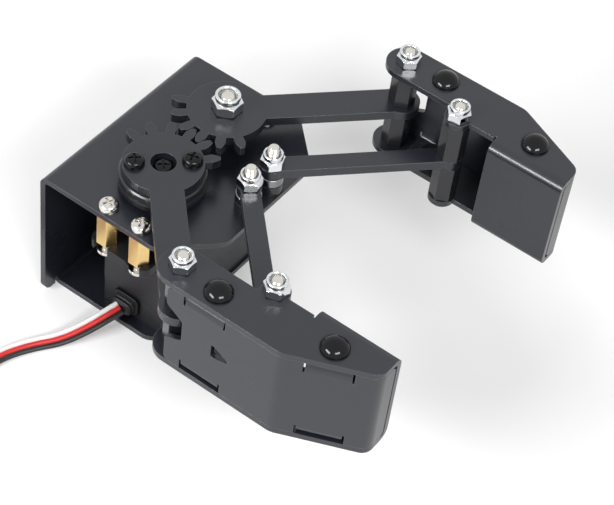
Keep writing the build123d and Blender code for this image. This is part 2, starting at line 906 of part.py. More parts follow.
write("bracket", bracket())
write("servo_bottom_cover", servo_bottom_cover())
write("servo_middle_case", servo_middle_case())
write("servo_top_cover", servo_top_cover())
write("servo_case_screws", *servo_case_screws())
write("servo_lead_boss", lead_boss())
write("servo_lead", lead_tube())
write("servo_lead_coil", lead_coil())
write("servo_lead_plug", lead_plug())
write("standoffs", *standoffs())
write("deck_screws", *deck_screws())
write("ear_screws", *ear_screws())
write("idle_pivot_bush", idle_bush())
write("idle_pivot_screw", idle_screw())
write("idle_pivot_nut", idle_nut())
write("link_screws", *link_screws())
write("link_collars", *link_collars())
write("link_spacers", *link_spacers())
write("link_nuts", *link_nuts())

write("servo_spline", servo_spline())
write("servo_horn", servo_horn())
write("horn_screws", *horn_screws())
write("horn_centre_screw", horn_centre_screw())
write("drive_gear_arm", drive_gear_arm())
write("idle_gear_arm", idle_gear_arm())
write("left_link", link())
write("right_link", mirrored(link()))

finger = {
    "channel": [finger_channel()],
    "cover": [finger_cover()],
    "rivets": finger_rivets(),
    "upper_spacers": finger_spacers(arm_top + axial_play, finger_top_under),
    "lower_spacers": finger_spacers(finger_floor, arm_bottom - axial_play),
    "screws": finger_screws(),
    "nuts": finger_nuts(),
}
for name, pieces in finger.items():
    write(f"left_finger_{name}", *pieces)
    write(f"right_finger_{name}", *[mirrored(piece) for piece in pieces])
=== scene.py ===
import json
from math import radians, tau

import bmesh
import bpy
import numpy as np
from mathutils import Matrix, Vector


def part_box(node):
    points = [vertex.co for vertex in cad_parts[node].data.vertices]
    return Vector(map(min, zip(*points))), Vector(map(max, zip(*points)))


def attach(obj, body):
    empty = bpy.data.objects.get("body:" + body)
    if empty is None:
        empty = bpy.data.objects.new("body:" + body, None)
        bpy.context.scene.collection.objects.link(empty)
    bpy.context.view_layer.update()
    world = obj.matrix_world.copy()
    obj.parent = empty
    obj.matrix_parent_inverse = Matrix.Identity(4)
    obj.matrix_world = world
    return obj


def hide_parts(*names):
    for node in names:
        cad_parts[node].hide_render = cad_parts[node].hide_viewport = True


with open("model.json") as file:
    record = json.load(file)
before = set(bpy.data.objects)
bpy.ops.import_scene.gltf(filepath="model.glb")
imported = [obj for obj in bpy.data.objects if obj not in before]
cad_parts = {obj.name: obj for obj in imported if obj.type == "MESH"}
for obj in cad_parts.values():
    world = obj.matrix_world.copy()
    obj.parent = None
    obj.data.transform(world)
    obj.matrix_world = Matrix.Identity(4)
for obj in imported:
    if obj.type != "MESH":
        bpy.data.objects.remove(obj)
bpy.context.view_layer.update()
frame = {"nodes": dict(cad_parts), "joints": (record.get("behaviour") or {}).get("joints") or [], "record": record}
nodes = frame["nodes"]
pivots = {joint["name"]: Vector(joint["pos_m"]) for joint in frame["joints"]}
scene = bpy.context.scene
scene.view_settings.view_transform = "Standard"
print("frame loaded:", len(nodes), "nodes")


# camera: a longish lens above the right front of the gripper

cameraSettings = {
    "place": (0.219116, -0.275367, 0.362413),
    "aim": (-0.33695, 0.58233, -0.73984),
    "up": (-0.49309, 0.56027, 0.66556),
    "lens": 113.9,
}


def addCamera(settings):
    data = bpy.data.cameras.new("photoCamera")
    data.lens = settings["lens"]
    data.sensor_width = 36
    data.clip_start, data.clip_end = 0.01, 20
    back = -Vector(settings["aim"]).normalized()
    right = Vector(settings["up"]).cross(back).normalized()
    turn = Matrix((right, back.cross(right), back)).transposed().to_4x4()
    camera = bpy.data.objects.new("photoCamera", data)
    camera.matrix_world = Matrix.Translation(settings["place"]) @ turn
    scene.collection.objects.link(camera)
    scene.camera = camera


addCamera(cameraSettings)
print("camera set")


# mesh helpers: every new piece is a grid of points, rows by columns

sharpAngle = 35     # degrees between two faces from which their edge is drawn sharp


def gridMesh(name, points, wrapRows=False, wrapColumns=True):
    # points[i, j] becomes vertex i * columns + j; neighbours in i and j share a four-sided face,
    # which looks outwards where columns run to the left of rows, seen from outside
    rows, columns = points.shape[:2]
    index = np.arange(rows * columns).reshape(rows, columns)
    ahead = np.roll(index, -1, axis=0) if wrapRows else index[1:]
    here = index if wrapRows else index[:-1]
    if wrapColumns:
        nextHere, nextAhead = np.roll(here, -1, axis=1), np.roll(ahead, -1, axis=1)
    else:
        here, ahead, nextHere, nextAhead = here[:, :-1], ahead[:, :-1], here[:, 1:], ahead[:, 1:]
    quads = np.stack([here, nextHere, nextAhead, ahead], axis=-1).reshape(-1, 4)
    faces = quads.tolist()
    if wrapColumns and not wrapRows:  # a tube gets a cap at each end
        faces += [index[0, ::-1].tolist(), index[-1].tolist()]
    mesh = bpy.data.meshes.new(name)
    mesh.from_pydata(points.reshape(-1, 3).tolist(), [], faces)
    return mesh


def joinMeshes(name, meshes, materials, body):
    # one object from several grids, its origin at the frame's origin
    offsets = np.cumsum([0] + [len(mesh.vertices) for mesh, _ in meshes])
    points, faces, slots = [], [], []
    for (mesh, materialIndex), offset in zip(meshes, offsets):
        flat = np.empty(len(mesh.vertices) * 3)
        mesh.vertices.foreach_get("co", flat)
        points.append(flat.reshape(-1, 3))
        faces += [[vertex + int(offset) for vertex in face.vertices] for face in mesh.polygons]
        slots += [materialIndex] * len(mesh.polygons)
        bpy.data.meshes.remove(mesh)
    joined = bpy.data.meshes.new(name)
    joined.from_pydata(np.concatenate(points).tolist(), [], faces)
    for material in materials:
        joined.materials.append(material)
    joined.polygons.foreach_set("material_index", slots)
    joined.polygons.foreach_set("use_smooth", [True] * len(faces))
    joined.set_sharp_from_angle(angle=radians(sharpAngle))
    piece = bpy.data.objects.new(name, joined)
    scene.collection.objects.link(piece)
    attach(piece, body)
    return piece


def sweep(path, sideways, upwards, outline):
    # outline (x, y) carried along the path: point = path + x * sideways + y * upwards
    x, y = np.asarray(outline).T
    return path[:, None] + sideways[:, None] * x[None, :, None] + upwards[:, None] * y[None, :, None]


def circle(radius, count, centre=(0, 0)):
    # points at equal steps of the angle, each at the radius times its cosine and sine
    turn = np.arange(count) * tau / count
    return np.stack([centre[0] + radius * np.cos(turn), centre[1] + radius * np.sin(turn)], axis=1)


def superellipse(turn, power):
    # cosine and sine of the turn, squared up: sign times size to a power under 1
    wave = np.cos(turn), np.sin(turn)
    return [np.sign(part) * np.abs(part) ** power for part in wave]


def turned(radius, level, place, turn=0.0, flip=False):
    # radius and level are rows by columns; column j stands at turn + j / columns of a full circle
    angle = turn + np.arange(radius.shape[1]) * tau / radius.shape[1]
    points = np.stack([radius * np.cos(angle), radius * np.sin(angle), level + 0 * radius], axis=-1)
    if flip:  # half a turn about the X direction
        points = points * (1, -1, -1)
    return points + np.asarray(place)


# materials

def newMaterial(name):
    material = bpy.data.materials.new(name)
    material.use_nodes = True
    tree = material.node_tree
    return material, tree, tree.nodes["Principled BSDF"]


def addNode(tree, kind, **values):
    node = tree.nodes.new(kind)
    for key, value in values.items():
        if key in node.inputs:
            node.inputs[key].default_value = value
        else:
            setattr(node, key, value)
    return node


def newGroup(name, inputs, outputs):
    group = bpy.data.node_groups.new(name, "ShaderNodeTree")
    for socket, kind, value in inputs:
        group.interface.new_socket(socket, in_out="INPUT", socket_type=kind).default_value = value
    for socket, kind in outputs:
        group.interface.new_socket(socket, in_out="OUTPUT", socket_type=kind)
    return group, group.nodes.new("NodeGroupInput"), group.nodes.new("NodeGroupOutput")


def makeRoundedEdge():
    # the normal of a slightly broken edge, and a mask that is 1 on the edge and 0 on the flats, which places a
    # painted highlight on the edges
    group, given, out = newGroup(
        "roundedEdge",
        [("Radius", "NodeSocketFloat", 0.0003), ("Gain", "NodeSocketFloat", 3.0)],
        [("Normal", "NodeSocketVector"), ("Edge", "NodeSocketFloat")],
    )
    bevel = addNode(group, "ShaderNodeBevel", samples=6)
    face = addNode(group, "ShaderNodeNewGeometry")
    dot = addNode(group, "ShaderNodeVectorMath", operation="DOT_PRODUCT")
    away = addNode(group, "ShaderNodeMath", operation="SUBTRACT", use_clamp=True)
    gained = addNode(group, "ShaderNodeMath", operation="MULTIPLY", use_clamp=True)
    away.inputs[0].default_value = 1
    link = group.links.new
    link(given.outputs["Radius"], bevel.inputs["Radius"])
    link(bevel.outputs["Normal"], dot.inputs[0])
    link(face.outputs["True Normal"], dot.inputs[1])
    link(dot.outputs["Value"], away.inputs[1])
    link(away.outputs[0], gained.inputs[0])
    link(given.outputs["Gain"], gained.inputs[1])
    link(bevel.outputs["Normal"], out.inputs["Normal"])
    link(gained.outputs[0], out.inputs["Edge"])
    return group


def makeGrain():
    # fine grain and broad unevenness on Object coordinates, both from 0 to 1
    group, given, out = newGroup(
        "grain",
        [("Fine", "NodeSocketFloat", 4000.0), ("Broad", "NodeSocketFloat", 60.0)],
        [("Grain", "NodeSocketFloat"), ("Cloud", "NodeSocketFloat")],
    )
    place = addNode(group, "ShaderNodeTexCoord")
    fine = addNode(group, "ShaderNodeTexNoise", Detail=2.0, Roughness=0.6)
    broad = addNode(group, "ShaderNodeTexNoise", Detail=3.0, Roughness=0.55)
    link = group.links.new
    for texture, size, result in ((fine, "Fine", "Grain"), (broad, "Broad", "Cloud")):
        link(place.outputs["Object"], texture.inputs["Vector"])
        link(given.outputs[size], texture.inputs["Scale"])
        link(texture.outputs["Fac"], out.inputs[result])
    return group


roundedEdge = makeRoundedEdge()
grain = makeGrain()


def surface(name, color, roughness, metallic=0.0, edgeHighlightColor=None, edgeRadius=0.00025, edgeGain=3.0,
            fine=4000.0, broad=60.0, bump=0.02, bumpDepth=0.00002, roughSpread=0.1, colorSpread=0.15,
            specular=0.5):
    # a finish with a broken edge, a painted highlight in a lighter colour along its edges, fine grain in its bump
    # and cloudy roughness and colour
    material, tree, shader = newMaterial(name)
    link = tree.links.new
    shader.inputs["Metallic"].default_value = metallic
    shader.inputs["Specular IOR Level"].default_value = specular
    edge = addNode(tree, "ShaderNodeGroup", node_tree=roundedEdge)
    edge.inputs["Radius"].default_value = edgeRadius
    edge.inputs["Gain"].default_value = edgeGain
    texture = addNode(tree, "ShaderNodeGroup", node_tree=grain)
    texture.inputs["Fine"].default_value = fine
    texture.inputs["Broad"].default_value = broad

    shade = addNode(tree, "ShaderNodeMapRange")
    shade.inputs["To Min"].default_value = 1 - colorSpread
    shade.inputs["To Max"].default_value = 1 + colorSpread
    shaded = addNode(tree, "ShaderNodeVectorMath", operation="SCALE")
    shaded.inputs[0].default_value = color
    link(texture.outputs["Cloud"], shade.inputs["Value"])
    link(shade.outputs["Result"], shaded.inputs["Scale"])
    # painted highlight: every edge that the mask finds takes a lighter colour, which stands in for the light that
    # broken edges catch
    paintedEdgeHighlight = addNode(tree, "ShaderNodeMix", data_type="RGBA")
    paintedEdgeHighlight.inputs["B"].default_value = (*(edgeHighlightColor or color), 1)
    link(edge.outputs["Edge"], paintedEdgeHighlight.inputs["Factor"])
    link(shaded.outputs["Vector"], paintedEdgeHighlight.inputs["A"])
    link(paintedEdgeHighlight.outputs["Result"], shader.inputs["Base Color"])

    rough = addNode(tree, "ShaderNodeMapRange")
    rough.inputs["To Min"].default_value = roughness - roughSpread
    rough.inputs["To Max"].default_value = roughness + roughSpread
    link(texture.outputs["Cloud"], rough.inputs["Value"])
    link(rough.outputs["Result"], shader.inputs["Roughness"])

    relief = addNode(tree, "ShaderNodeBump", Strength=bump, Distance=bumpDepth)
    link(texture.outputs["Grain"], relief.inputs["Height"])
    link(edge.outputs["Normal"], relief.inputs["Normal"])
    link(relief.outputs["Normal"], shader.inputs["Normal"])
    return material


# the second colour of each finish is its painted edge highlight
blackSheet = surface("blackSheet", (0.0125, 0.0138, 0.0198), 0.28, edgeHighlightColor=(0.09, 0.092, 0.098),
                     edgeRadius=0.0003, fine=5200, broad=45, bump=0.25, roughSpread=0.05,
                     colorSpread=0.08, specular=0.6)
blackPlastic = surface("blackPlastic", (0.0125, 0.0132, 0.0162), 0.42, edgeHighlightColor=(0.035, 0.036, 0.04),
                       fine=3500, bump=0.5, edgeRadius=0.0003, specular=0.3)
softBlack = surface("softBlack", (0.004, 0.0043, 0.0056), 0.5, edgeHighlightColor=(0.015, 0.0155, 0.018),
                    fine=3000, bump=0.4, edgeRadius=0.0003, specular=0.3)
blackTurned = surface("blackTurned", (0.013, 0.0133, 0.0158), 0.24, edgeHighlightColor=(0.05, 0.051, 0.055),
                      fine=6000, bump=0.1, roughSpread=0.03, edgeRadius=0.0002)
glossyBlack = surface("glossyBlack", (0.003, 0.0032, 0.0042), 0.11, edgeHighlightColor=(0.02, 0.02, 0.022),
                      fine=5000, bump=0.04, roughSpread=0.03, edgeRadius=0.0002, specular=0.26)
zinc = surface("zinc", (0.7, 0.72, 0.74), 0.12, metallic=1.0, edgeHighlightColor=(0.86, 0.87, 0.88),
               fine=7000, broad=200, bump=0.12, roughSpread=0.05, edgeRadius=0.00015)
nickel = surface("nickel", (0.68, 0.66, 0.62), 0.14, metallic=1.0, edgeHighlightColor=(0.8, 0.79, 0.76),
                 fine=7000, broad=220, bump=0.15, roughSpread=0.06, edgeRadius=0.00012)
darkSteel = surface("darkSteel", (0.24, 0.245, 0.255), 0.22, metallic=1.0, edgeHighlightColor=(0.4, 0.41, 0.42),
                    fine=7000, broad=220, bump=0.12, roughSpread=0.05, edgeRadius=0.00015)
brass = surface("brass", (0.83, 0.6, 0.26), 0.22, metallic=1.0, edgeHighlightColor=(0.9, 0.7, 0.38),
                fine=6000, broad=180, bump=0.15, roughSpread=0.06, edgeRadius=0.0002)
nylon = surface("nylon", (0.4, 0.4, 0.36), 0.4, fine=3000, bump=0.1)
whiteWire = surface("whiteWire", (0.8, 0.8, 0.79), 0.42, fine=2500, bump=0.2, colorSpread=0.04)
redWire = surface("redWire", (0.62, 0.02, 0.018), 0.4, fine=2500, bump=0.2, colorSpread=0.08)
blackWire = surface("blackWire", (0.012, 0.012, 0.013), 0.4, fine=2500, bump=0.2)

finishes = {
    "black_sheet": blackSheet, "black_plastic": blackPlastic, "black_anodised": blackTurned,
    "black_fastener": glossyBlack, "steel": zinc, "brass": brass, "lead": redWire,
}
ownFinish = {"link_spacers": darkSteel, "ear_screws": nickel}
for part in frame["record"]["subparts"]:
    finish = ownFinish.get(part["node"], finishes[part["material_slot"]])
    for held in nodes[part["node"]].material_slots:
        held.material = finish
print("finishes on the frame")


# servo lead: three wires side by side, from the servo to a coil and its plug

leadSettings = {
    "route": [
        (0.0225, -0.0250, -0.0150),
        (0.0211, -0.0292, -0.0159),
        (0.0188, -0.0340, -0.0178),
        (0.0155, -0.0396, -0.0197),
        (0.0111, -0.0454, -0.0199),
        (0.0077, -0.0522, -0.0199),
        (0.0064, -0.0592, -0.0199),
    ],
    "coilCentre": (-0.0170, -0.0705),
    "outerTurn": 0.02345,
    "innerTurn": 0.01955,
    "turns": 660,       # degrees round the coil
    "step": 24,         # degrees between two of its points
    "shift": (270, 90),     # degrees at which the lead starts to move inwards, and over which it does
    "lastBend": (48, 1.75),     # degrees over which the end runs in to the plug, and its power
    "plugRadius": 0.0145,
    "floor": -0.0199,
    "plugLevel": -0.0197,
    "wire": 0.00067,    # radius of one wire
    "wireColumns": 14,
    "pitch": 0.0013,
    "width": 0.0039,
    "roll": -0.55,      # radians at the exit, gone after rollEnd
    "rollEnd": 0.045,
    "length": 0.3,
}


def coilPoints(settings):
    # clockwise from the east side: one outer turn, a shift inwards, an inner turn, then in to the plug
    degreesRound = np.arange(settings["step"] / 2, settings["turns"] + 1, settings["step"])
    shiftStart, shiftSpan = settings["shift"]
    bendSpan, bendPower = settings["lastBend"]
    inward = np.clip((degreesRound - shiftStart) / shiftSpan, 0, 1)
    radius = settings["outerTurn"] - (settings["outerTurn"] - settings["innerTurn"]) * inward
    last = np.clip((degreesRound - settings["turns"] + bendSpan) / bendSpan, 0, 1) ** bendPower
    radius = radius - (settings["innerTurn"] - settings["plugRadius"]) * last
    level = settings["floor"] + (settings["plugLevel"] - settings["floor"]) * last
    x = settings["coilCentre"][0] + radius * np.cos(-np.radians(degreesRound))
    y = settings["coilCentre"][1] + radius * np.sin(-np.radians(degreesRound))
    return np.stack([x, y, level], axis=1)


def smoothRoute(points):
    # the points that Blender works out along one NURBS spline
    data = bpy.data.curves.new("leadRoute", "CURVE")
    data.dimensions = "3D"
    spline = data.splines.new("NURBS")
    spline.points.add(len(points) - 1)
    spline.points.foreach_set("co", np.c_[points, np.ones(len(points))].ravel())
    spline.order_u = 3
    spline.use_endpoint_u = True
    spline.resolution_u = 10
    holder = bpy.data.objects.new("leadRoute", data)
    scene.collection.objects.link(holder)
    bpy.context.view_layer.update()
    line = bpy.data.meshes.new_from_object(holder.evaluated_get(bpy.context.evaluated_depsgraph_get()))
    path = np.empty(len(line.vertices) * 3)
    line.vertices.foreach_get("co", path)
    bpy.data.objects.remove(holder)
    return path.reshape(-1, 3)


def addLead(settings):
    # three circles side by side, carried along the route; at the exit the row is turned about the
    # route by the roll, which falls to nothing by half a cosine
    path = smoothRoute(np.concatenate([settings["route"], coilPoints(settings)]))
    along = np.gradient(path, axis=0)
    along /= np.linalg.norm(along, axis=1)[:, None]
    sideways = np.cross((0, 0, 1), along)
    sideways /= np.linalg.norm(sideways, axis=1)[:, None]
    upwards = np.cross(along, sideways)
    gone = np.concatenate([[0], np.linalg.norm(np.diff(path, axis=0), axis=1).cumsum()])
    roll = settings["roll"] * (0.5 + 0.5 * np.cos(np.pi * (gone / settings["rollEnd"]).clip(0, 1)))[:, None]
    sideways, upwards = (
        sideways * np.cos(roll) + upwards * np.sin(roll), upwards * np.cos(roll) - sideways * np.sin(roll)
    )
    wires = []
    for row, offset in enumerate((-1, 0, 1)):
        outline = circle(settings["wire"], settings["wireColumns"], (offset * settings["pitch"], 0))
        wires.append((gridMesh("wire", sweep(path, sideways, upwards, outline)), row))
    lead = joinMeshes("servoLead", wires, [whiteWire, redWire, blackWire], "base")
    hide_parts("servo_lead", "servo_lead_coil")
    print("lead length", round(float(np.linalg.norm(np.diff(path, axis=0), axis=1).sum()), 4))


addLead(leadSettings)


# grommet: a flange on the case and a ribbed neck that tapers to the wires

grommetSettings = {
    "exit": (0.0225, -0.0150),                       # x and z of the wires
    "case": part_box("servo_lead_boss")[1].y,
    "flange": (0.0078, 0.0062, 0.0009),              # width, height, thickness
    "neck": (0.0062, 0.0043, 0.0051, 0.0033),        # width and height at the flange, then at the end
    "length": 0.00299,
    "ribs": 2,
    "ribRise": 0.00022,
    "ribPower": 6,
    "step": 0.00002,        # between two sections that make a corner
    "bevel": 0.00015,
    "rounding": 0.0001,
    "endBevel": 0.0002,
    "neckStart": 0.00005,
    "neckRows": 49,
    "columns": 72,
    "squareness": 0.45,
}


def addGrommet(settings):
    # sections along -Y: a superellipse of half width a and half height b, where a and b fall evenly along
    # the neck and rise by a sine to an even power at each rib
    x, z = settings["exit"]
    wide, tall, thick = settings["flange"]
    startWide, startTall, endWide, endTall = settings["neck"]
    step, bevel, rounding, endBevel = (settings[key] for key in ("step", "bevel", "rounding", "endBevel"))
    flangeDepth = np.array([0, step, thick - bevel, thick, thick + step])
    flangeWide = np.array([wide / 2 - rounding, wide / 2, wide / 2, wide / 2 - bevel, startWide / 2])
    flangeTall = np.array([tall / 2 - rounding, tall / 2, tall / 2, tall / 2 - bevel, startTall / 2])
    share = np.linspace(0, 1, settings["neckRows"])
    rib = settings["ribRise"] * np.sin(np.pi * settings["ribs"] * share) ** settings["ribPower"]
    neckWide = startWide / 2 * (1 - share) + endWide / 2 * share + rib
    neckTall = startTall / 2 * (1 - share) + endTall / 2 * share + rib
    neckDepth = thick + settings["neckStart"] + (settings["length"] - thick - endBevel) * share
    depth = np.concatenate([flangeDepth, neckDepth, [settings["length"]]])[:, None]
    halfWide = np.concatenate([flangeWide, neckWide, [neckWide[-1] - endBevel]])[:, None]
    halfTall = np.concatenate([flangeTall, neckTall, [neckTall[-1] - endBevel]])[:, None]
    count = settings["columns"]
    across, up = superellipse(np.arange(count) * tau / count, settings["squareness"])
    y = settings["case"] - depth + 0 * across
    points = np.stack([x + halfWide * across, y, z + halfTall * up], axis=-1)
    shell = gridMesh("grommet", points)
    grommet = joinMeshes("leadGrommet", [(shell, 0)], [softBlack], "base")
    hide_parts("servo_lead_boss")


addGrommet(grommetSettings)


# lock nuts: a chamfered hexagon, a rolled collar and a pale ring round the thread

nutSettings = {
    "hexShare": 0.62,       # of the height
    "collarShare": 0.462,   # from here on as shares of the width across flats, radii first
    "lipShare": 0.338,
    "seatShare": 0.47,
    "rootShare": 0.445,
    "ringDepth": 0.15,
    "rootRise": 0.01,
    "rollRise": 0.07,
    "ringThickness": 0.02,
    "ringEdge": 0.015,
    "chamfer": 0.55,        # slope of the chamfer cone
    "ringOuter": 0.995,     # of the lip's radius
    "ringInner": 1.01,      # of the bore's radius
    "columns": 120,
    "rollRows": 11,
    "ringColumns": 48,
    "ringRows": 7,
}


def nutShell(flats, height, bore, place, turn, settings):
    # each column is one profile; on the hexagon its radius is half the flats over the cosine of the
    # angle from the nearest flat, and the chamfer cone meets it where both have that radius
    count = settings["columns"]
    angle = np.arange(count) * tau / count
    across = flats / 2 / np.cos((angle + tau / 12) % (tau / 6) - tau / 12)
    seat, root = settings["seatShare"] * flats, settings["rootShare"] * flats
    collar, lip = settings["collarShare"] * flats, settings["lipShare"] * flats
    shoulder = settings["hexShare"] * height
    low = (across - seat).clip(0) * settings["chamfer"]
    high = shoulder - (across - seat).clip(0) * settings["chamfer"]
    ones = np.ones(count)
    roll = np.linspace(0, np.pi, settings["rollRows"])[:, None]
    rollRise = settings["rollRise"] * flats
    floorLevel = height - settings["ringDepth"] * flats - settings["ringThickness"] * flats
    outer = [bore * ones, seat * ones, across, across, seat * ones, root * ones, collar * ones]
    levels = [0 * ones, 0 * ones, low, high, shoulder * ones,
              (shoulder + settings["rootRise"] * flats) * ones, (shoulder + rollRise) * ones]
    rollRadius = (collar + lip) / 2 + (collar - lip) / 2 * np.cos(roll)
    radius = np.concatenate([outer, rollRadius * ones, [lip * ones, bore * ones]])
    rollLevel = height - rollRise * (1 - np.sin(roll))
    level = np.concatenate([levels, rollLevel * ones, [floorLevel * ones, floorLevel * ones]])
    return gridMesh("nut", turned(radius, level, place, turn), wrapRows=True)


def lockRing(flats, height, bore, place, settings):
    # the radius runs evenly from the lip to the thread, and the level rises by the root of half a sine
    outer, inner = settings["lipShare"] * flats * settings["ringOuter"], bore * settings["ringInner"]
    level = height - settings["ringDepth"] * flats
    edge = level - settings["ringEdge"] * flats
    span = np.linspace(0, 1, settings["ringRows"])[:, None]
    radius = np.concatenate([[[outer]], outer + (inner - outer) * span, [[inner]]])
    top = level + settings["ringThickness"] * flats * np.sin(span * np.pi) ** 0.5
    rise = np.concatenate([[[edge]], top, [[edge]]])
    ones = np.ones(settings["ringColumns"])
    return gridMesh("ring", turned(radius * ones, rise * ones, place), wrapRows=True)


def lockNut(flats, height, bore, place, turn):
    # the shell takes the nut's first material and the ring its second
    shell = nutShell(flats, height, bore, place, turn, nutSettings)
    return [(shell, 0), (lockRing(flats, height, bore, place, nutSettings), 1)]


# screws: a pan head with a cross recess, a plain shank and a threaded end

screwSettings = {
    "headGrid": [0.985, 0.95, 0.9, 0.84, 0.76, 0.68],
    "domePowers": (3.6, 0.38),
    "recessReach": 0.56,    # of the head's radius, as the next three
    "recessHalf": 0.115,
    "recessWall": 0.012,
    "recessEnd": 0.03,
    "recessRows": (0.82, 0.62),     # of the recess's reach
    "recessMiddle": (0.16, 0.05),   # outside its half width
    "recessDepth": 0.62,    # of the head's height
    "recessFall": 0.55,     # share of the depth that comes evenly towards the middle
    "threadLength": 0.0056,
    "threadDepth": 0.55,    # of the pitch, as the next
    "tipLength": 0.7,
    "tipRows": (0.75, 0.4),     # of the last radius
    "rowsPerPitch": 8,
    "columns": 32,
    "overlap": 0.0001,      # of the shank with its head
    "weld": 1e-7,
}
m3 = {"radius": 0.0015, "pitch": 0.0005, "head": (0.0026, 0.002)}
m4 = {"radius": 0.002, "pitch": 0.0007, "head": (0.0037, 0.0017)}


def panHead(radius, height, place, flip, turn, settings):
    # a square grid u, v pressed into a disc: x = u sqrt(1 - v^2 / 2), y = v sqrt(1 - u^2 / 2); the level
    # is a flattened dome, less a cross that deepens towards the middle
    reach, half = settings["recessReach"], settings["recessHalf"]
    wallWidth, endWidth, fallShare = settings["recessWall"], settings["recessEnd"], settings["recessFall"]
    inner = [reach + endWidth, reach, *(reach * share for share in settings["recessRows"])]
    inner += [*(half + more for more in settings["recessMiddle"]), half + wallWidth, half, half / 2]
    line = np.array([1.0, *settings["headGrid"], *inner])
    line = np.concatenate([-line, [0], line[::-1]])
    u, v = np.meshgrid(line, line, indexing="ij")
    x, y = u * np.sqrt(1 - v**2 / 2), v * np.sqrt(1 - u**2 / 2)
    out = np.sqrt(x**2 + y**2).clip(0, 1)
    edgePower, domePower = settings["domePowers"]
    dome = height * (1 - out**edgePower) ** domePower

    def wing(across, along):
        wall = ((half + wallWidth - np.abs(across)) / wallWidth).clip(0, 1)
        fall = 1 - fallShare + fallShare * ((reach - np.abs(along)) / reach).clip(0, 1)
        end = ((reach + endWidth - np.abs(along)) / endWidth).clip(0, 1)
        return wall * fall * end

    level = dome - settings["recessDepth"] * height * np.maximum(wing(u, v), wing(v, u))
    angle = np.cos(turn), np.sin(turn)
    points = np.stack(
        [radius * (x * angle[0] - y * angle[1]), radius * (x * angle[1] + y * angle[0]), level], axis=-1
    )
    if flip:
        points = points * (1, -1, -1)
    points = points[:, ::-1]
    under = gridMesh("under", (points * (1, 1, 0) + np.asarray(place))[::-1], wrapColumns=False)
    head = gridMesh("head", points + np.asarray(place), wrapColumns=False)
    shell = bmesh.new()
    for mesh in (head, under):
        shell.from_mesh(mesh)
    bmesh.ops.remove_doubles(shell, verts=shell.verts, dist=settings["weld"])
    shell.to_mesh(head)
    shell.free()
    bpy.data.meshes.remove(under)
    return head


def shank(radius, start, end, pitch, place, flip, settings):
    # the thread's radius falls by its depth with the triangle wave of level / pitch - angle / full turn
    count = settings["columns"]
    threadStart = max(start, end - settings["threadLength"])
    rows = int(round((end - threadStart) / pitch * settings["rowsPerPitch"])) + 1
    level = np.linspace(threadStart, end, rows)[:, None] * np.ones(count)
    wave = (level / pitch - np.arange(count) / count) % 1
    depth = settings["threadDepth"] * pitch * (1 - np.abs(2 * wave - 1))
    fade = ((level - threadStart) / pitch).clip(0, 1)
    tip = radius - (level - end + pitch * settings["tipLength"]).clip(0)
    radii = np.minimum(radius - depth * fade, tip)
    top = np.array(settings["tipRows"])[:, None] * radii[-1]
    radii = np.concatenate([radius * np.ones((1, count)), radii, top])
    level = np.concatenate([start * np.ones((1, count)), level, end * np.ones((len(top), count))])
    return gridMesh("shank", turned(radii, level, place, flip=flip))


def screwParts(size, place, length, down, turn):
    # the head's underside is at the place; down is true where the shank points down from it
    radius, height = size["head"]
    head = panHead(radius, height, place, not down, turn, screwSettings)
    start = -screwSettings["overlap"]
    return [(head, 0), (shank(size["radius"], start, length, size["pitch"], place, down, screwSettings), 0)]


# pivots: the rear pivot of each finger is a joint, and the front one lies a crank's length from it

for side, swing in (("right", "drive_arm_swing"), ("left", "idle_arm_swing")):
    crank = pivots[f"{side}_link_swing"] - pivots[swing]
    pivots[f"{side}_finger_front"] = pivots[f"{side}_finger_pivot"] + crank

nutSets = [
    {"name": "linkNuts", "node": "link_nuts", "body": "base", "flats": 0.0055, "bore": 0.00152,
     "places": [("right_link_swing", 12), ("left_link_swing", 20)]},
    {"name": "idlePivotNut", "node": "idle_pivot_nut", "body": "base", "flats": 0.007, "bore": 0.00202,
     "places": [("idle_arm_swing", 0)]},
    {"name": "rightFingerNuts", "node": "right_finger_nuts", "body": "right_finger", "flats": 0.0055,
     "bore": 0.00152, "places": [("right_finger_pivot", 0), ("right_finger_front", -8)]},
    {"name": "leftFingerNuts", "node": "left_finger_nuts", "body": "left_finger", "flats": 0.0055,
     "bore": 0.00152, "places": [("left_finger_pivot", 10), ("left_finger_front", -22)]},
]
screwSets = [
    {"name": "linkScrews", "node": "link_screws", "body": "base", "size": m3, "drop": 0.0,
     "places": ["right_link_swing", "left_link_swing"]},
    {"name": "idlePivotScrew", "node": "idle_pivot_screw", "body": "base", "size": m4, "drop": 0.0008,
     "places": ["idle_arm_swing"]},
    {"name": "rightFingerScrews", "node": "right_finger_screws", "body": "right_finger", "size": m3,
     "drop": 0.0005, "places": ["right_finger_pivot", "right_finger_front"]},
    {"name": "leftFingerScrews", "node": "left_finger_screws", "body": "left_finger", "size": m3,
     "drop": 0.0005, "places": ["left_finger_pivot", "left_finger_front"]},
]
# the first head's turn in radians, and what each later head adds
screwTurns = {"pivots": (0.4, 0.9), "deck": (0.35, 0.8), "horn": (0.3, 0.5), "centre": (0.75, 0)}


def addNuts(values):
    # nuts that stand on their node's box and are as tall as it
    low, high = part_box(values["node"])
    parts = []
    for pivot, turn in values["places"]:
        place = (pivots[pivot].x, pivots[pivot].y, low.z)
        parts += lockNut(values["flats"], high.z - low.z, values["bore"], place, radians(turn))
    nuts = joinMeshes(values["name"], parts, [zinc, nylon], values["body"])
    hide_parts(values["node"])


def addScrews(values):
    # screws that point up, their heads under the plate; the drop is how far they end below the box
    low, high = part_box(values["node"])
    headHeight = values["size"]["head"][1]
    length = high.z - values["drop"] - low.z - headHeight
    first, step = screwTurns["pivots"]
    parts = []
    for row, pivot in enumerate(values["places"]):
        place = (pivots[pivot].x, pivots[pivot].y, low.z + headHeight)
        parts += screwParts(values["size"], place, length, False, first + step * row)
    screws = joinMeshes(values["name"], parts, [nickel], values["body"])
    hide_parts(values["node"])


